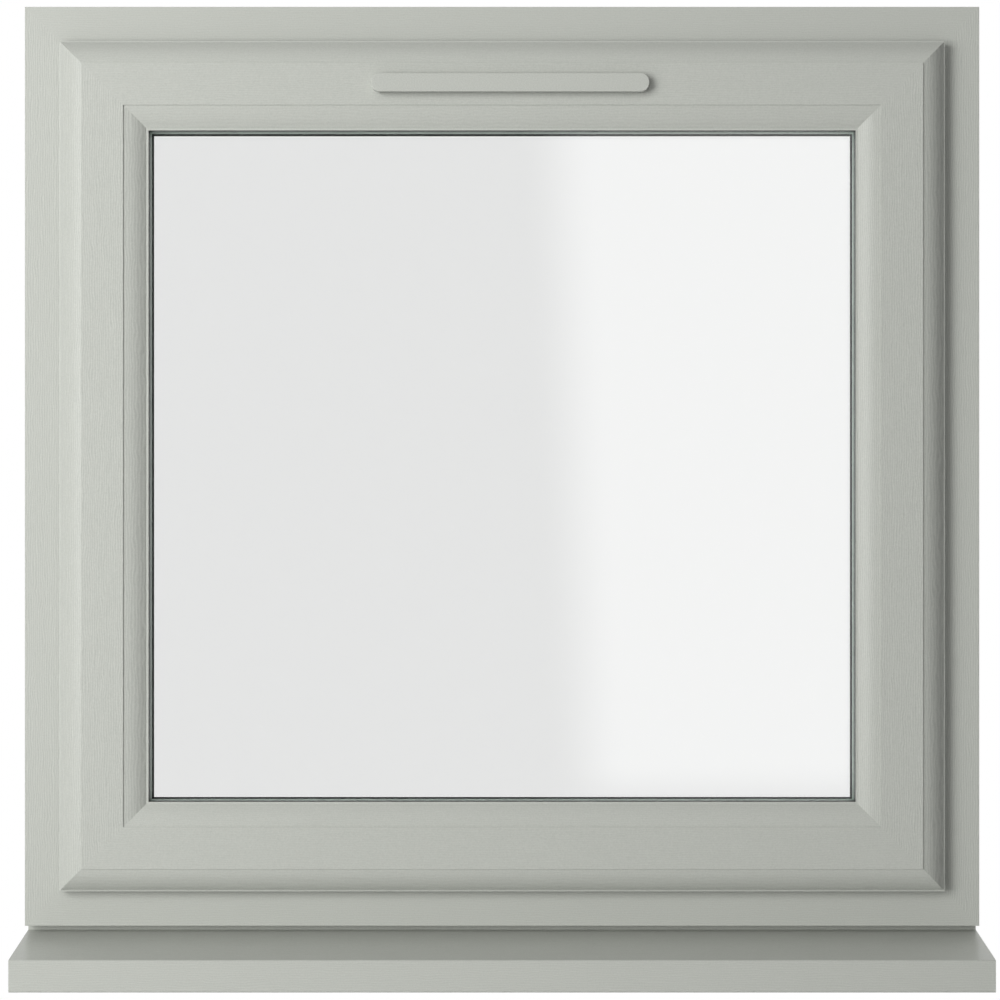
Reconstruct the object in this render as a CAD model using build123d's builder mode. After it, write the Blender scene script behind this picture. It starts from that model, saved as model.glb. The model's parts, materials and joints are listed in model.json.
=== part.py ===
"""Top-hung window: mitred outer frame, sculptured sash, sealed double glazing, trickle vent and sill.

Millimetres. X runs to the right as seen from outside, Y into the room, Z up.
The origin is on the sill's bed, at mid width, straight under the frame's outside face.
"""

from build123d import *
import os

# Outer frame
FRAME_WIDTH = 905.0
FRAME_HEIGHT = 871.5
FRAME_DEPTH = 70.0
FRAME_LEG = 43.0
FRAME_UPSTAND = 63.0
UPSTAND_DEPTH = 15.5
UPSTAND_ROUND = 6.0
FRAME_EDGE_ROUND = 0.5

# Sash, measured in from the frame's outer edge and out from the frame's face
SASH_OVERLAP = 8.4
SASH_PROUD = 25.5
SASH_BACK_CLEARANCE = 5.0
SASH_FACE_CLEARANCE = 6.0
SASH_BODY_CLEARANCE = 13.0
SASH_LIP_THICKNESS = 6.5
SASH_LIP_WIDTH = 1.4
SASH_LIP_FALL = 0.5
OUTER_OVOLO_WIDTH = 21.5
OUTER_OVOLO_RADIUS = 33.0
SASH_FLAT = 39.5
INNER_OVOLO_WIDTH = 20.5
INNER_OVOLO_DROP = 8.0
INNER_OVOLO_RADIUS = 38.0
SASH_NIB_FLAT = 2.1
QUIRK_STEP = 1.0
SASH_NIB_THICKNESS = 1.8

# Sealed double-glazed unit, its gaskets and beads
OUTER_GASKET_THICKNESS = 2.0
OUTER_GASKET_SHOWING = 0.3
PANE_THICKNESS = 4.0
CAVITY = 20.0
INNER_GASKET_THICKNESS = 3.0
INNER_GASKET_SHOWING = 1.0
GLASS_EDGE_COVER = 15.5
REBATE_PACKING = 3.0
SPACER_HEIGHT = 7.3
SPACER_SET_BACK = 0.2
BUTYL_LINE = 0.4
BEAD_TOE = 4.0
BEAD_LAND = 4.0
BEAD_RADIUS = 30.0

# Weather seals
SEAL_WIDTH = 4.0
SEAL_INSET = 2.5

# Trickle vent on the sash's top rail
VENT_OFFSET = 7.7
HOOD_LENGTH = 260.0
HOOD_HEIGHT = 17.5
HOOD_PROUD = 9.5
HOOD_END_FLAT = 1.4
HOOD_EDGE = 0.8
HOOD_WALL = 2.0
HOOD_OUTLET = 5.0
INNER_VENT_LENGTH = 280.0
INNER_VENT_HEIGHT = 22.0
INNER_VENT_PROUD = 8.0
INNER_VENT_CORNER = 7.0
SHUTTER_LENGTH = 250.0
SHUTTER_HEIGHT = 12.0
SHUTTER_PROUD = 5.0

# Handle on the sash's bottom rail, room side
HANDLE_BASE_LENGTH = 118.0
HANDLE_BASE_WIDTH = 26.0
HANDLE_BASE_THICKNESS = 10.0
HANDLE_NECK_RADIUS = 8.5
HANDLE_STAND_OFF = 40.0
HANDLE_LEVER_LENGTH = 112.0
HANDLE_LEVER_WIDTH = 18.0
HANDLE_TIP_WIDTH = 14.0
HANDLE_LEVER_THICKNESS = 11.0

# Projecting sill
SILL_DEPTH = 150.0
SILL_SEAT = 30.0
SILL_RISER_SET_BACK = 18.0
SILL_RISER = 6.5
SILL_FALL = 11.2
NOSE_HEIGHT = 30.1
NOSE_RETURN = 16.0
NOSE_ROUND = 1.5
NOSE_FOOT_ROUND = 2.0
DRIP_RADIUS = 2.0
END_CAP = 3.0

# Depths along Y
SASH_FACE_Y = -SASH_PROUD
LIP_BACK_Y = -SASH_FACE_CLEARANCE
LIP_FRONT_Y = LIP_BACK_Y - SASH_LIP_THICKNESS
NIB_FRONT_Y = SASH_FACE_Y + QUIRK_STEP + INNER_OVOLO_DROP
NIB_BACK_Y = NIB_FRONT_Y + SASH_NIB_THICKNESS
OUTER_PANE_Y = NIB_BACK_Y + OUTER_GASKET_THICKNESS
CAVITY_Y = OUTER_PANE_Y + PANE_THICKNESS
INNER_PANE_Y = CAVITY_Y + CAVITY
UNIT_BACK_Y = INNER_PANE_Y + PANE_THICKNESS
BEAD_FRONT_Y = UNIT_BACK_Y + INNER_GASKET_THICKNESS
UPSTAND_Y = FRAME_DEPTH - UPSTAND_DEPTH
SASH_BACK_Y = UPSTAND_Y - SASH_BACK_CLEARANCE

# Distances in from the frame's outer edge
SASH_EDGE = FRAME_LEG - SASH_OVERLAP
SASH_BODY = FRAME_LEG + SASH_BODY_CLEARANCE
OUTER_QUIRK = SASH_EDGE + SASH_LIP_WIDTH + OUTER_OVOLO_WIDTH
INNER_QUIRK = OUTER_QUIRK + SASH_FLAT
SIGHTLINE = INNER_QUIRK + INNER_OVOLO_WIDTH + SASH_NIB_FLAT
GLASS_EDGE = SIGHTLINE - GLASS_EDGE_COVER
REBATE_BASE = GLASS_EDGE - REBATE_PACKING
SPACER_INNER = SIGHTLINE - SPACER_SET_BACK
SPACER_OUTER = SPACER_INNER - SPACER_HEIGHT
GASKET_ROOT = GLASS_EDGE + 2.0

FRAME_CENTRE_Z = SILL_SEAT + FRAME_HEIGHT / 2
SASH_RAIL_MIDDLE = (FRAME_UPSTAND + REBATE_BASE) / 2
HOOD_CORNER = (HOOD_HEIGHT - HOOD_END_FLAT) / 2

# Each side's way out from the window's centre, in X and Z
SIDES = {"bottom": (0, -1), "top": (0, 1), "left": (-1, 0), "right": (1, 0)}


def side_plane(side):
    """Plane across one side at mid length: local X runs into the room, local Y runs in from the frame's edge."""
    out_x, out_z = SIDES[side]
    edge = (out_x * FRAME_WIDTH / 2, 0, FRAME_CENTRE_Z + out_z * FRAME_HEIGHT / 2)
    along = Vector(0, 1, 0).cross(Vector(-out_x, 0, -out_z))
    return Plane(edge, x_dir=(0, 1, 0), z_dir=along)


def mitred_bar(draw_section, side, label):
    """Extrude a section along one side of the window and mitre both of its ends at 45 degrees."""
    across = side_plane(side)
    half = (FRAME_HEIGHT if SIDES[side][0] else FRAME_WIDTH) / 2
    with BuildPart() as bar:
        with BuildSketch(across):
            with BuildLine():
                draw_section()
            make_face()
        extrude(amount=half, both=True)
        for end in (-1, 1):
            corner = across.origin + across.z_dir * (end * half)
            mitre = Plane(corner, z_dir=across.z_dir * end + across.y_dir)
            split(bisect_by=mitre, keep=Keep.BOTTOM)
    bar.part.label = label
    return bar.part


def mitred_loop(draw_section, label):
    """Close four mitred bars into one loop, for what is bent or moulded in one piece."""
    bars = [mitred_bar(draw_section, side, label) for side in SIDES]
    with BuildPart() as loop:
        for bar in bars:
            add(bar)
    loop.part.label = label
    return loop.part


def pane(front_y, label):
    """One sheet of glass, from its front face into the room."""
    with BuildPart() as sheet:
        with BuildSketch(Plane((0, front_y, FRAME_CENTRE_Z), x_dir=(1, 0, 0), z_dir=(0, -1, 0))):
            Rectangle(FRAME_WIDTH - 2 * GLASS_EDGE, FRAME_HEIGHT - 2 * GLASS_EDGE)
        extrude(amount=-PANE_THICKNESS)
    sheet.part.label = label
    return sheet.part


def frame_section():
    """Outer frame: a front leg that the sash closes on, and an upstand on the room side."""
    front = Line((FRAME_EDGE_ROUND, 0), (FRAME_DEPTH, 0))
    back = Line(front @ 1, (FRAME_DEPTH, FRAME_UPSTAND - UPSTAND_ROUND))
    shoulder = RadiusArc(back @ 1, (FRAME_DEPTH - UPSTAND_ROUND, FRAME_UPSTAND), -UPSTAND_ROUND)
    rebate = Polyline(
        shoulder @ 1,
        (UPSTAND_Y, FRAME_UPSTAND),
        (UPSTAND_Y, FRAME_LEG),
        (FRAME_EDGE_ROUND, FRAME_LEG),
    )
    inner_edge = RadiusArc(rebate @ 1, (0, FRAME_LEG - FRAME_EDGE_ROUND), -FRAME_EDGE_ROUND)
    face = Line(inner_edge @ 1, (0, FRAME_EDGE_ROUND))
    RadiusArc(face @ 1, front @ 0, -FRAME_EDGE_ROUND)


def sash_section():
    """Sash: overlapping lip, ovolo, flat, second ovolo down to the glass, and an open glazing rebate."""
    lip = Polyline(
        (SASH_BACK_Y, SASH_BODY),
        (LIP_BACK_Y, SASH_BODY),
        (LIP_BACK_Y, SASH_EDGE),
        (LIP_FRONT_Y + SASH_LIP_FALL, SASH_EDGE),
        (LIP_FRONT_Y, SASH_EDGE + SASH_LIP_WIDTH),
    )
    outer_ovolo = RadiusArc(lip @ 1, (SASH_FACE_Y + QUIRK_STEP, OUTER_QUIRK), OUTER_OVOLO_RADIUS)
    flat = Polyline(
        outer_ovolo @ 1,
        (SASH_FACE_Y, OUTER_QUIRK),
        (SASH_FACE_Y, INNER_QUIRK),
        (SASH_FACE_Y + QUIRK_STEP, INNER_QUIRK),
    )
    inner_ovolo = RadiusArc(flat @ 1, (NIB_FRONT_Y, SIGHTLINE - SASH_NIB_FLAT), INNER_OVOLO_RADIUS)
    Polyline(
        inner_ovolo @ 1,
        (NIB_FRONT_Y, SIGHTLINE),
        (NIB_BACK_Y, SIGHTLINE),
        (NIB_BACK_Y, REBATE_BASE),
        (SASH_BACK_Y, REBATE_BASE),
        (SASH_BACK_Y, SASH_BODY),
    )


def bead_section():
    """Glazing bead, clipped into the rebate on the room side, with its own rounded face."""
    land = Polyline(
        (SASH_BACK_Y, REBATE_BASE + BEAD_TOE),
        (SASH_BACK_Y, REBATE_BASE),
        (BEAD_FRONT_Y, REBATE_BASE),
        (BEAD_FRONT_Y, SIGHTLINE),
        (BEAD_FRONT_Y + BEAD_LAND, SIGHTLINE),
    )
    RadiusArc(land @ 1, land @ 0, BEAD_RADIUS)


def outer_gasket_section():
    """Gasket between the sash's nib and the outer pane, with a sloping lip that shows round the glass."""
    Polyline(
        (NIB_BACK_Y, GASKET_ROOT),
        (NIB_BACK_Y, SIGHTLINE),
        (NIB_BACK_Y + OUTER_GASKET_THICKNESS / 2, SIGHTLINE + OUTER_GASKET_SHOWING),
        (OUTER_PANE_Y, SIGHTLINE + OUTER_GASKET_SHOWING),
        (OUTER_PANE_Y, GASKET_ROOT),
        close=True,
    )


def inner_gasket_section():
    """Gasket between the inner pane and the glazing beads."""
    Polyline(
        (UNIT_BACK_Y, GASKET_ROOT),
        (UNIT_BACK_Y, SIGHTLINE + INNER_GASKET_SHOWING),
        (UNIT_BACK_Y + INNER_GASKET_THICKNESS / 2, SIGHTLINE + INNER_GASKET_SHOWING),
        (BEAD_FRONT_Y, SIGHTLINE),
        (BEAD_FRONT_Y, GASKET_ROOT),
        close=True,
    )


def spacer_section():
    """Spacer bar between the panes, inside its edge seal."""
    Polyline(
        (CAVITY_Y + BUTYL_LINE, SPACER_OUTER),
        (CAVITY_Y + BUTYL_LINE, SPACER_INNER),
        (INNER_PANE_Y - BUTYL_LINE, SPACER_INNER),
        (INNER_PANE_Y - BUTYL_LINE, SPACER_OUTER),
        close=True,
    )


def edge_seal_section():
    """Sealant behind the spacer bar, with a thin line of it on each pane."""
    Polyline(
        (CAVITY_Y, GLASS_EDGE),
        (CAVITY_Y, SPACER_INNER),
        (CAVITY_Y + BUTYL_LINE, SPACER_INNER),
        (CAVITY_Y + BUTYL_LINE, SPACER_OUTER),
        (INNER_PANE_Y - BUTYL_LINE, SPACER_OUTER),
        (INNER_PANE_Y - BUTYL_LINE, SPACER_INNER),
        (INNER_PANE_Y, SPACER_INNER),
        (INNER_PANE_Y, GLASS_EDGE),
        close=True,
    )


def sash_seal_section():
    """Weather seal behind the sash's lip, closed on the frame's face."""
    Polyline(
        (LIP_BACK_Y, SASH_EDGE + SEAL_INSET),
        (LIP_BACK_Y, SASH_EDGE + SEAL_INSET + SEAL_WIDTH),
        (0, SASH_EDGE + SEAL_INSET + SEAL_WIDTH * 0.8),
        (0, SASH_EDGE + SEAL_INSET + SEAL_WIDTH * 0.2),
        close=True,
    )


def frame_seal_section():
    """Weather seal on the frame's upstand, closed on the back of the sash."""
    Polyline(
        (UPSTAND_Y, FRAME_UPSTAND - SEAL_INSET),
        (UPSTAND_Y, FRAME_UPSTAND - SEAL_INSET - SEAL_WIDTH),
        (SASH_BACK_Y, FRAME_UPSTAND - SEAL_INSET - SEAL_WIDTH * 0.8),
        (SASH_BACK_Y, FRAME_UPSTAND - SEAL_INSET - SEAL_WIDTH * 0.2),
        close=True,
    )


def sill_section():
    """Sill: seat under the frame, riser, falling top, deep nose, and a bed that stops behind the nose."""
    nose_y = FRAME_DEPTH - SILL_DEPTH
    slope_z = SILL_SEAT - SILL_RISER
    nose_z = slope_z - SILL_FALL
    foot_z = nose_z - NOSE_HEIGHT
    top = Polyline(
        (FRAME_DEPTH, 0),
        (FRAME_DEPTH, SILL_SEAT),
        (SILL_RISER_SET_BACK, SILL_SEAT),
        (SILL_RISER_SET_BACK, slope_z),
        (nose_y + NOSE_ROUND, nose_z),
    )
    brow = TangentArc(top @ 1, (nose_y, nose_z - NOSE_ROUND), tangent=top % 1)
    front = Line(brow @ 1, (nose_y, foot_z + NOSE_FOOT_ROUND))
    toe = RadiusArc(front @ 1, (nose_y + NOSE_FOOT_ROUND, foot_z), -NOSE_FOOT_ROUND)
    Polyline(
        toe @ 1,
        (nose_y + NOSE_RETURN, foot_z),
        (nose_y + NOSE_RETURN, 0),
        (FRAME_DEPTH, 0),
    )


def sill_length(start_x, length, label):
    """A length of the sill's section, used for the sill itself and for its end caps."""
    foot_z = SILL_SEAT - SILL_RISER - SILL_FALL - NOSE_HEIGHT
    drip_y = FRAME_DEPTH - SILL_DEPTH + NOSE_RETURN / 2
    with BuildPart() as body:
        with BuildSketch(Plane.YZ.offset(start_x)):
            with BuildLine():
                sill_section()
            make_face()
            with Locations((drip_y, foot_z)):
                Circle(DRIP_RADIUS, mode=Mode.SUBTRACT)
        extrude(amount=length)
    body.part.label = label
    return body.part


pieces = [
    mitred_bar(frame_section, "top", "frame_head"),
    mitred_bar(frame_section, "bottom", "frame_bottom_rail"),
    mitred_bar(frame_section, "left", "frame_left_jamb"),
    mitred_bar(frame_section, "right", "frame_right_jamb"),
    mitred_loop(frame_seal_section, "frame_seal"),
    mitred_bar(sash_section, "top", "sash_top_rail"),
    mitred_bar(sash_section, "bottom", "sash_bottom_rail"),
    mitred_bar(sash_section, "left", "sash_left_stile"),
    mitred_bar(sash_section, "right", "sash_right_stile"),
    mitred_loop(sash_seal_section, "sash_seal"),
    mitred_bar(bead_section, "top", "top_glazing_bead"),
    mitred_bar(bead_section, "bottom", "bottom_glazing_bead"),
    mitred_bar(bead_section, "left", "left_glazing_bead"),
    mitred_bar(bead_section, "right", "right_glazing_bead"),
    pane(OUTER_PANE_Y, "outer_pane"),
    pane(INNER_PANE_Y, "inner_pane"),
    mitred_loop(spacer_section, "spacer_bar"),
    mitred_loop(edge_seal_section, "edge_seal"),
    mitred_loop(outer_gasket_section, "outer_glazing_gasket"),
    mitred_loop(inner_gasket_section, "inner_glazing_gasket"),
    sill_length(-FRAME_WIDTH / 2 + END_CAP, FRAME_WIDTH - 2 * END_CAP, "sill"),
    sill_length(-FRAME_WIDTH / 2, END_CAP, "sill_left_end_cap"),
    sill_length(FRAME_WIDTH / 2 - END_CAP, END_CAP, "sill_right_end_cap"),
]

# Trickle vent hood: a rounded canopy on the flat of the top rail, open along its underside
hood_z = SILL_SEAT + FRAME_HEIGHT - (OUTER_QUIRK + INNER_QUIRK) / 2
hood_plane = Plane((VENT_OFFSET, SASH_FACE_Y, hood_z), x_dir=(1, 0, 0), z_dir=(0, -1, 0))
with BuildPart() as vent_hood:
    with BuildSketch(hood_plane):
        RectangleRounded(HOOD_LENGTH, HOOD_HEIGHT, HOOD_CORNER)
    extrude(amount=HOOD_PROUD)
    fillet(vent_hood.faces().sort_by(Axis.Y)[0].edges(), HOOD_EDGE)
    with BuildSketch(hood_plane):
        RectangleRounded(
            HOOD_LENGTH - 2 * HOOD_WALL,
            HOOD_HEIGHT - 2 * HOOD_WALL,
            HOOD_CORNER - HOOD_WALL,
        )
    extrude(amount=HOOD_PROUD - HOOD_WALL, mode=Mode.SUBTRACT)
    with BuildSketch(Plane.XY.offset(hood_z)):
        with Locations((VENT_OFFSET, SASH_FACE_Y - (HOOD_PROUD - HOOD_WALL) / 2)):
            Rectangle(HOOD_LENGTH - 2 * HOOD_CORNER, HOOD_OUTLET)
    extrude(amount=-HOOD_HEIGHT, mode=Mode.SUBTRACT)
vent_hood.part.label = "vent_hood"
pieces.append(vent_hood.part)

# Inner half of the vent, on the room side of the top rail, with its shutter closed
inner_vent_z = SILL_SEAT + FRAME_HEIGHT - SASH_RAIL_MIDDLE
inner_vent_plane = Plane((VENT_OFFSET, SASH_BACK_Y, inner_vent_z), x_dir=(-1, 0, 0), z_dir=(0, 1, 0))
with BuildPart() as vent_inner_body:
    with BuildSketch(inner_vent_plane):
        RectangleRounded(INNER_VENT_LENGTH, INNER_VENT_HEIGHT, INNER_VENT_CORNER)
    extrude(amount=INNER_VENT_PROUD)
    fillet(vent_inner_body.faces().sort_by(Axis.Y)[-1].edges(), 2 * HOOD_EDGE)
vent_inner_body.part.label = "vent_inner_body"
pieces.append(vent_inner_body.part)

with BuildPart() as vent_shutter:
    with BuildSketch(inner_vent_plane.offset(INNER_VENT_PROUD)):
        RectangleRounded(SHUTTER_LENGTH, SHUTTER_HEIGHT, SHUTTER_HEIGHT / 2 - HOOD_EDGE)
    extrude(amount=SHUTTER_PROUD)
    fillet(vent_shutter.faces().sort_by(Axis.Y)[-1].edges(), 2 * HOOD_EDGE)
vent_shutter.part.label = "vent_shutter"
pieces.append(vent_shutter.part)

# Handle: base along the bottom rail, neck, and a lever that lies along the rail when shut
handle_z = SILL_SEAT + SASH_RAIL_MIDDLE
handle_plane = Plane((0, SASH_BACK_Y, handle_z), x_dir=(-1, 0, 0), z_dir=(0, 1, 0))
with BuildPart() as handle_base:
    with BuildSketch(handle_plane):
        SlotOverall(HANDLE_BASE_LENGTH, HANDLE_BASE_WIDTH)
    extrude(amount=HANDLE_BASE_THICKNESS)
    fillet(handle_base.faces().sort_by(Axis.Y)[-1].edges(), HANDLE_BASE_THICKNESS / 4)
handle_base.part.label = "handle_base"
pieces.append(handle_base.part)

with BuildPart() as handle_lever:
    with BuildSketch(handle_plane.offset(HANDLE_BASE_THICKNESS)):
        Circle(HANDLE_NECK_RADIUS)
    extrude(amount=HANDLE_STAND_OFF - HANDLE_BASE_THICKNESS)
    with BuildSketch(handle_plane.offset(HANDLE_STAND_OFF)):
        Circle(HANDLE_LEVER_WIDTH / 2)
        with Locations(((HANDLE_LEVER_WIDTH + HANDLE_TIP_WIDTH) / 2 - HANDLE_LEVER_LENGTH, 0)):
            Circle(HANDLE_TIP_WIDTH / 2)
        make_hull()
    extrude(amount=HANDLE_LEVER_THICKNESS)
    fillet(handle_lever.faces().sort_by(Axis.Y)[-1].edges(), HANDLE_LEVER_THICKNESS / 3)
handle_lever.part.label = "handle_lever"
pieces.append(handle_lever.part)

os.makedirs("parts", exist_ok=True)
for piece in pieces:
    export_step(piece, f"parts/{piece.label}.step")
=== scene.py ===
import json
import math

import bpy
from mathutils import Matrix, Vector

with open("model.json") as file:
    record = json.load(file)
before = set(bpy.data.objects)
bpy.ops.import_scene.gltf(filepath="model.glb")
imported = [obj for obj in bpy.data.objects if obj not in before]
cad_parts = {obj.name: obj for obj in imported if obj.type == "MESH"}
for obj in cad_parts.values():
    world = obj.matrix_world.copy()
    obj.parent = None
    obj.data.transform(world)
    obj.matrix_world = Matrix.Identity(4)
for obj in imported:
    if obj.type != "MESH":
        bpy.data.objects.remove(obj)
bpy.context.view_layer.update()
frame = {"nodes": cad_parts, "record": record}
nodes = frame["nodes"]
scene = bpy.context.scene
scene.view_settings.view_transform = "Standard"

# Colours, as linear red, green and blue
FOIL = (0.477, 0.491, 0.453)
RUBBER = (0.012, 0.012, 0.012)
SPACER = (0.445, 0.53, 0.47)
HANDLE = (0.62, 0.62, 0.60)
GLASS = (0.946, 0.949, 0.947)
WHITE = (1.0, 1.0, 1.0)

# A noise texture's mean and the range that holds most of it, and the middle of a wave and of a colour ramp
NOISE_MEAN = 0.5
NOISE_LOW, NOISE_HIGH = 0.3, 0.7
MIDDLE = 0.5

# Foil grain: the axis that it runs along, and noise cells to a metre across it and along it
LENGTHWISE, UPRIGHT = 0, 2
STREAK_CELLS = (640.0, 70.0)
BREAK_CELLS = (330.0, 85.0)
BREAK_OFFSET = (3.1, 1.7, 5.3)
SPECKLE_CELLS = (800.0, 800.0, 800.0)

# Foil bands: spacing in metres on the front, turned so that the side faces get bands too
BAND_SPACING = 0.0022
BAND_TURN = math.radians(30)
BAND_STRETCH = 0.5
BAND_WANDER = 7.0
WAVE_RADIANS = 20.0

# Share of each layer in the foil's grain, the colour's largest change, and the relief's depth in metres
STREAK_SHARE = 0.35
SPECKLE_SHARE = 0.2
SHADE_LIMIT = 0.25
RELIEF_DEPTH = 0.00006
RAIL_CONTRAST = 0.08
STILE_CONTRAST = 0.27
SILL_CONTRAST = 0.12

# Spacer bar: where the cavity between the panes starts and how deep it is, in metres, across which painted
# shade turns to painted light, and the grain's share
CAVITY_FRONT_Y = -0.0087
CAVITY_DEPTH = 0.02
SPACER_UNEVEN = 0.25

# Faces that meet at a larger angle than this are shaded with a sharp edge
SHARP_ANGLE = math.radians(24)

# What gloss shows: limits of smooth steps in the reflected direction, and levels where 1 is white
WALL_SEEN = (-0.25, 0.35)
FRONT_SIDE = (-0.3, -0.6)
PANEL_LEFT = (0.014, 0.046)
PANEL_FOOT = (-0.128, -0.104)
PANEL_RIGHT = (0.42, 0.26)
PANEL_LEAN = 0.047
PANEL_LEVEL = 0.93
WALL_LEVEL = 0.93
ROOM_LEVEL = 0.07
LEAST_AHEAD = 0.001

# Ambient light: limits of smooth steps in its direction, and its levels
BAND_SIDES = (0.50, 0.22)
BAND_LEVEL = 0.70
OVERHEAD_LIMITS = (0.75, 0.90)
OVERHEAD_LEVEL = 0.25
BACK_LIMITS = (0.25, 0.60)
BACK_LEVEL = 0.97
UPPER_LIMITS = (0.0, 0.6)
UPPER_LEVEL = 0.9
FILL_LEVEL = 0.03

# Key light, in metres: upright strips, each between two angles in degrees left of the camera, with a radiance
KEY_DISTANCE = 3.2
KEY_HEIGHT = 2.5
KEY_MIDDLE_Z = 1.05
KEY_STRIPS = {
    "key_near": (20, 30, 5.6),
    "key_middle": (30, 48, 7.6),
    "key_far": (48, 60, 2.9),
}

# Floor, in metres, with its shade under the light and the shade and glow that are seen
FLOOR_RADIUS = 3.0
FLOOR_Z = -0.9
FLOOR_SIDES = 96
FLOOR_LIT_SHADE = 0.5
FLOOR_SEEN_SHADE = 0.2
FLOOR_SEEN_GLOW = 0.84

# Camera, in metres, with its lens and sensor in millimetres
CAMERA_PLACE = (-0.00195, -2.38, 0.43385)
CAMERA_LENS = 90.37
CAMERA_SENSOR = 36.0
CAMERA_REACH = 50


# Node helpers

def new_material(name):
    mat = bpy.data.materials.new(name)
    mat.use_nodes = True
    tree = mat.node_tree
    tree.nodes.clear()
    out = tree.nodes.new("ShaderNodeOutputMaterial")
    bsdf = tree.nodes.new("ShaderNodeBsdfPrincipled")
    tree.links.new(bsdf.outputs[0], out.inputs[0])
    return mat, tree, bsdf


def fill_sockets(tree, sockets, values):
    """Sets each socket to its number, or links it to its node output."""
    for socket, value in zip(sockets, values):
        if isinstance(value, (int, float)):
            socket.default_value = value
        else:
            tree.links.new(value, socket)


def math_node(tree, op, *values):
    node = tree.nodes.new("ShaderNodeMath")
    node.operation = op
    fill_sockets(tree, node.inputs, values)
    return node.outputs[0]


def add(tree, a, b):
    return math_node(tree, "ADD", a, b)


def multiply(tree, a, b):
    return math_node(tree, "MULTIPLY", a, b)


def mapped_coordinates(tree, scale):
    """Places in the row frame, in metres times the scale."""
    coord = tree.nodes.new("ShaderNodeTexCoord")
    mapping = tree.nodes.new("ShaderNodeMapping")
    mapping.inputs["Scale"].default_value = scale
    tree.links.new(coord.outputs["Object"], mapping.inputs["Vector"])
    return mapping


def stretched_noise(tree, cells, detail, roughness, offset=(0, 0, 0)):
    """Noise with its own number of cells to a metre along each axis."""
    mapping = mapped_coordinates(tree, cells)
    mapping.inputs["Location"].default_value = offset
    noise = tree.nodes.new("ShaderNodeTexNoise")
    noise.inputs["Scale"].default_value = 1.0
    noise.inputs["Detail"].default_value = detail
    noise.inputs["Roughness"].default_value = roughness
    tree.links.new(mapping.outputs[0], noise.inputs["Vector"])
    return noise.outputs["Fac"]


def ramp(tree, fac, first, last):
    node = tree.nodes.new("ShaderNodeValToRGB")
    for element, stop in zip(node.color_ramp.elements, (first, last)):
        element.position, element.color = stop
    tree.links.new(fac, node.inputs[0])
    return node.outputs[0]


def bump(tree, height, strength, distance):
    node = tree.nodes.new("ShaderNodeBump")
    node.inputs["Strength"].default_value = strength
    node.inputs["Distance"].default_value = distance
    tree.links.new(height, node.inputs["Height"])
    return node.outputs[0]


def smooth_step(tree, value, limits):
    """0 before the first limit, 1 past the second, smooth between them."""
    node = tree.nodes.new("ShaderNodeMapRange")
    node.interpolation_type = "SMOOTHSTEP"
    sockets = [node.inputs[key] for key in ("Value", "From Min", "From Max")]
    fill_sockets(tree, sockets, (value, *limits))
    return node.outputs["Result"]


def pick(tree, fac, off, on):
    node = tree.nodes.new("ShaderNodeMix")
    node.data_type = "FLOAT"
    fill_sockets(tree, (node.inputs[0], node.inputs[2], node.inputs[3]), (fac, off, on))
    return node.outputs[0]


def tint(color, factor):
    return tuple(c * factor for c in color) + (1.0,)


def mottled(tree, noise, color, dark, light):
    """The colour times dark to light, as the noise goes."""
    return ramp(tree, noise, (NOISE_LOW, tint(color, dark)), (NOISE_HIGH, tint(color, light)))


# Materials

def banded_grain(tree, axis):
    """Fine bands that wander a little along the grain's axis."""
    mapping = mapped_coordinates(tree, [BAND_STRETCH if k == axis else 1.0 for k in range(3)])
    mapping.inputs["Rotation"].default_value = [BAND_TURN if k == axis else 0.0 for k in range(3)]
    wave = tree.nodes.new("ShaderNodeTexWave")
    wave.bands_direction = "X" if axis == UPRIGHT else "Z"
    wave.inputs["Scale"].default_value = math.tau / (WAVE_RADIANS * BAND_SPACING * math.cos(BAND_TURN))
    wave.inputs["Distortion"].default_value = BAND_WANDER
    wave.inputs["Detail"].default_value = 2.0
    wave.inputs["Detail Scale"].default_value = 0.6
    tree.links.new(mapping.outputs[0], wave.inputs["Vector"])
    return wave.outputs["Fac"]


def grain_noise(tree, axis, cells, offset=(0, 0, 0)):
    across, along = cells
    return stretched_noise(tree, [along if k == axis else across for k in range(3)], 1.0, 0.5, offset)


def foil(name, axis, contrast):
    """Wood-embossed foil: short fine streaks that run along the member, over a faint speckle."""
    mat, tree, bsdf = new_material(name)
    streaks = grain_noise(tree, axis, STREAK_CELLS)
    breaks = grain_noise(tree, axis, BREAK_CELLS, BREAK_OFFSET)
    bands = math_node(tree, "SUBTRACT", banded_grain(tree, axis), MIDDLE)
    relief = add(tree, multiply(tree, bands, breaks), multiply(tree, streaks, STREAK_SHARE))
    speckle = stretched_noise(tree, SPECKLE_CELLS, 1.0, 0.5)
    grain = add(tree, multiply(tree, relief, contrast), multiply(tree, speckle, SPECKLE_SHARE))
    grain_mean = NOISE_MEAN * (STREAK_SHARE * contrast + SPECKLE_SHARE)
    centred = add(tree, grain, MIDDLE - grain_mean)
    darkest = (MIDDLE - SHADE_LIMIT, tint(FOIL, 1.0 - SHADE_LIMIT))
    lightest = (MIDDLE + SHADE_LIMIT, tint(FOIL, 1.0 + SHADE_LIMIT))
    tree.links.new(ramp(tree, centred, darkest, lightest), bsdf.inputs["Base Color"])
    bsdf.inputs["Roughness"].default_value = 0.22
    bsdf.inputs["Specular IOR Level"].default_value = 0.12
    tree.links.new(bump(tree, relief, 1.0, RELIEF_DEPTH), bsdf.inputs["Normal"])
    return mat


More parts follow.
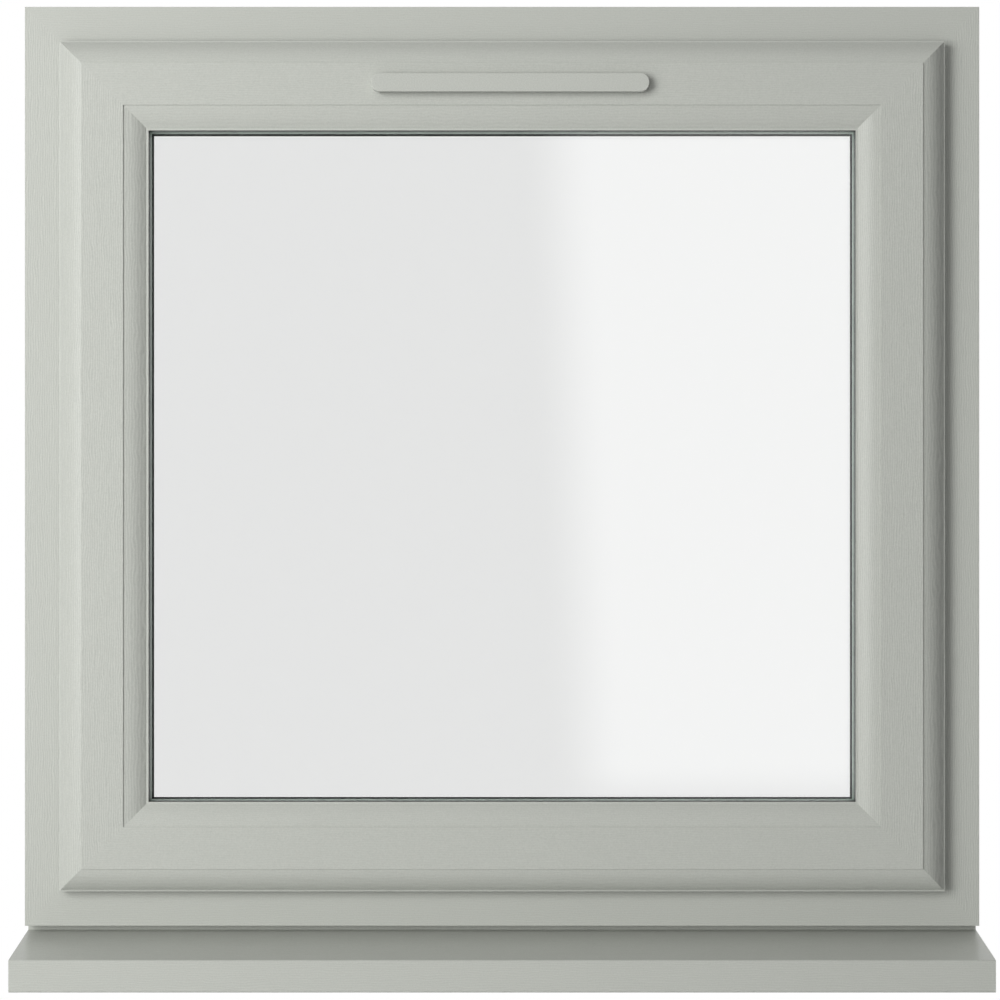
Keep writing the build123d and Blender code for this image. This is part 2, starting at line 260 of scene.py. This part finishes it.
def smooth_plastic(name, color):
    """Moulded plastic with a very fine texture."""
    mat, tree, bsdf = new_material(name)
    grain = stretched_noise(tree, (800.0, 1000.0, 1000.0), 1.0, 0.5)
    tree.links.new(mottled(tree, grain, color, 0.94, 1.06), bsdf.inputs["Base Color"])
    bsdf.inputs["Roughness"].default_value = 0.25
    bsdf.inputs["Specular IOR Level"].default_value = 0.17
    tree.links.new(bump(tree, grain, 0.08, 0.0002), bsdf.inputs["Normal"])
    return mat


def rubber(name, color):
    """Dull black rubber with a fine uneven skin."""
    mat, tree, bsdf = new_material(name)
    grain = stretched_noise(tree, (600.0, 600.0, 600.0), 3.0, 0.6)
    tree.links.new(mottled(tree, grain, color, 0.8, 1.25), bsdf.inputs["Base Color"])
    bsdf.inputs["Roughness"].default_value = 0.55
    bsdf.inputs["Specular IOR Level"].default_value = 0.25
    tree.links.new(bump(tree, grain, 0.1, 0.0002), bsdf.inputs["Normal"])
    return mat


def spacer_metal(name, color):
    """Matt spacer bar, with painted shade near the outer pane that runs to painted light near the inner one.
    """
    mat, tree, bsdf = new_material(name)
    coord = tree.nodes.new("ShaderNodeTexCoord")
    split = tree.nodes.new("ShaderNodeSeparateXYZ")
    tree.links.new(coord.outputs["Object"], split.inputs[0])
    # Painted shade near the outer pane runs to painted light near the inner one, across the cavity
    painted_shade_to_light = multiply(tree, add(tree, split.outputs[1], -CAVITY_FRONT_Y), 1.0 / CAVITY_DEPTH)
    grain = stretched_noise(tree, (500.0, 900.0, 500.0), 2.0, 0.5)
    unevenness = multiply(tree, math_node(tree, "SUBTRACT", grain, NOISE_MEAN), SPACER_UNEVEN)
    depth = add(tree, painted_shade_to_light, unevenness)
    # Colour ramp from painted shade at the bar's front to painted light at its back, with the real grain
    # mixed in
    shade = ramp(tree, depth, (0.1, tint(color, 0.38)), (0.9, tint(color, 1.55)))
    tree.links.new(shade, bsdf.inputs["Base Color"])
    bsdf.inputs["Roughness"].default_value = 0.5
    bsdf.inputs["Specular IOR Level"].default_value = 0.4
    return mat


def satin_metal(name, color):
    """Metal brushed along the handle."""
    mat, tree, bsdf = new_material(name)
    brushed = stretched_noise(tree, (30.0, 1500.0, 1500.0), 3.0, 0.6)
    tree.links.new(mottled(tree, brushed, color, 0.93, 1.05), bsdf.inputs["Base Color"])
    bsdf.inputs["Metallic"].default_value = 1.0
    tree.links.new(mottled(tree, brushed, WHITE, 0.34, 0.26), bsdf.inputs["Roughness"])
    tree.links.new(bump(tree, brushed, 0.06, 0.0001), bsdf.inputs["Normal"])
    return mat


def clear_glass(name, color):
    mat, _, bsdf = new_material(name)
    bsdf.inputs["Base Color"].default_value = tint(color, 1.0)
    bsdf.inputs["Transmission Weight"].default_value = 1.0
    bsdf.inputs["Roughness"].default_value = 0.0
    bsdf.inputs["IOR"].default_value = 1.5
    return mat


SLOT_MATERIAL = {
    "rail_profile": foil("rail_foil", LENGTHWISE, RAIL_CONTRAST),
    "stile_profile": foil("stile_foil", UPRIGHT, STILE_CONTRAST),
    "sill_profile": foil("sill_foil", LENGTHWISE, SILL_CONTRAST),
    "vent_plastic": smooth_plastic("vent_plastic", FOIL),
    "seal": rubber("seal_rubber", RUBBER),
    "spacer": spacer_metal("spacer", SPACER),
    "handle_metal": satin_metal("handle_metal", HANDLE),
    "glass": clear_glass("glass", GLASS),
}
slot_of = {sub["node"]: sub["material_slot"] for sub in frame["record"]["subparts"]}

for name, obj in nodes.items():
    mesh = obj.data
    mesh.materials.clear()
    mesh.materials.append(SLOT_MATERIAL[slot_of[name]])
    mesh.polygons.foreach_set("use_smooth", [True] * len(mesh.polygons))
    mesh.set_sharp_from_angle(angle=SHARP_ANGLE)


# Stage: white surroundings, soft light from the front left, pale floor

def gloss_room(tree, dir_y, across, upward):
    """A white wall behind the window, and in front of it a dim room with a pale panel on the right."""
    edge_line = add(tree, across, multiply(tree, upward, PANEL_LEAN))
    panel = multiply(tree, smooth_step(tree, edge_line, PANEL_LEFT), smooth_step(tree, upward, PANEL_FOOT))
    panel = multiply(tree, panel, smooth_step(tree, across, PANEL_RIGHT))
    panel = multiply(tree, panel, smooth_step(tree, dir_y, FRONT_SIDE))
    wall = multiply(tree, smooth_step(tree, dir_y, WALL_SEEN), WALL_LEVEL)
    return add(tree, multiply(tree, panel, PANEL_LEVEL), add(tree, wall, ROOM_LEVEL))


def ambient_light(tree, dir_y, dir_z, across):
    """An upright band behind the camera, light from overhead, and the white wall behind the window."""
    sideways = math_node(tree, "ABSOLUTE", across)
    band = multiply(tree, smooth_step(tree, sideways, BAND_SIDES), smooth_step(tree, dir_y, FRONT_SIDE))
    front_light = multiply(tree, band, BAND_LEVEL)
    overhead = multiply(tree, smooth_step(tree, dir_z, OVERHEAD_LIMITS), OVERHEAD_LEVEL)
    upper_wall = multiply(tree, smooth_step(tree, dir_z, UPPER_LIMITS), UPPER_LEVEL)
    back_light = multiply(tree, smooth_step(tree, dir_y, BACK_LIMITS), add(tree, upper_wall, BACK_LEVEL))
    return add(tree, add(tree, front_light, overhead), add(tree, back_light, FILL_LEVEL))


def studio_world():
    """White to the camera and through the glass, with other levels for gloss and for scattered light."""
    world = bpy.data.worlds.new("studio")
    world.use_nodes = True
    tree = world.node_tree
    tree.nodes.clear()
    out = tree.nodes.new("ShaderNodeOutputWorld")
    light_path = tree.nodes.new("ShaderNodeLightPath")
    direction = tree.nodes.new("ShaderNodeTexCoord")
    split = tree.nodes.new("ShaderNodeSeparateXYZ")
    tree.links.new(direction.outputs["Generated"], split.inputs[0])
    dir_x, dir_y, dir_z = split.outputs
    ahead = math_node(tree, "MAXIMUM", multiply(tree, dir_y, -1.0), LEAST_AHEAD)
    across = math_node(tree, "DIVIDE", dir_x, ahead)
    upward = math_node(tree, "DIVIDE", dir_z, ahead)
    reflected = math_node(tree, "GREATER_THAN", light_path.outputs["Glossy Depth"], 0.5)
    scattered = math_node(tree, "GREATER_THAN", light_path.outputs["Diffuse Depth"], 0.5)
    level = pick(tree, reflected, 1.0, gloss_room(tree, dir_y, across, upward))
    level = pick(tree, scattered, level, ambient_light(tree, dir_y, dir_z, across))
    background = tree.nodes.new("ShaderNodeBackground")
    background.inputs["Color"].default_value = tint(WHITE, 1.0)
    tree.links.new(level, background.inputs["Strength"])
    tree.links.new(background.outputs[0], out.inputs[0])
    return world


def key_strip(name, az_from, az_to, radiance):
    """Upright strip of soft light that faces the window's axis."""
    middle = math.radians((az_from + az_to) / 2)
    width = 2 * KEY_DISTANCE * math.tan(math.radians((az_to - az_from) / 2))
    place = Vector((-KEY_DISTANCE * math.sin(middle), -KEY_DISTANCE * math.cos(middle), KEY_MIDDLE_Z))
    aim = Vector((0.0, 0.0, KEY_MIDDLE_Z))
    data = bpy.data.lights.new(name, "AREA")
    data.shape = "RECTANGLE"
    data.size = width
    data.size_y = KEY_HEIGHT
    data.energy = radiance * math.pi * width * KEY_HEIGHT
    strip = bpy.data.objects.new(name, data)
    scene.collection.objects.link(strip)
    strip.location = place
    strip.rotation_euler = (aim - place).to_track_quat("-Z", "Y").to_euler()


def floor_white():
    """Pale floor that the camera, gloss and glass see just under white."""
    mat, tree, bsdf = new_material("floor_white")
    light_path = tree.nodes.new("ShaderNodeLightPath")
    seen = light_path.outputs["Is Camera Ray"]
    for ray in ("Is Transmission Ray", "Is Glossy Ray"):
        seen = math_node(tree, "MAXIMUM", seen, light_path.outputs[ray])
    shade = ramp(tree, seen, (0.0, tint(WHITE, FLOOR_LIT_SHADE)), (1.0, tint(WHITE, FLOOR_SEEN_SHADE)))
    tree.links.new(shade, bsdf.inputs["Base Color"])
    bsdf.inputs["Roughness"].default_value = 0.9
    bsdf.inputs["Emission Color"].default_value = tint(WHITE, 1.0)
    tree.links.new(multiply(tree, seen, FLOOR_SEEN_GLOW), bsdf.inputs["Emission Strength"])
    return mat


scene.world = studio_world()

# One broad soft light on the front left, brightest in its middle
for name, strip in KEY_STRIPS.items():
    key_strip(name, *strip)

floor_mesh = bpy.data.meshes.new("floor")
turns = [math.tau * k / FLOOR_SIDES for k in range(FLOOR_SIDES)]
rim = [(FLOOR_RADIUS * math.cos(turn), FLOOR_RADIUS * math.sin(turn), FLOOR_Z) for turn in turns]
floor_mesh.from_pydata(rim, [], [list(range(FLOOR_SIDES))])
floor_mesh.materials.append(floor_white())
floor = bpy.data.objects.new("floor", floor_mesh)
scene.collection.objects.link(floor)


# Camera, square on to the window

camera_data = bpy.data.cameras.new("camera")
camera_data.sensor_width = CAMERA_SENSOR
camera_data.lens = CAMERA_LENS
camera_data.clip_end = CAMERA_REACH
camera = bpy.data.objects.new("camera", camera_data)
scene.collection.objects.link(camera)
camera.location = CAMERA_PLACE
camera.rotation_euler = (math.radians(90), 0, 0)
scene.camera = camera
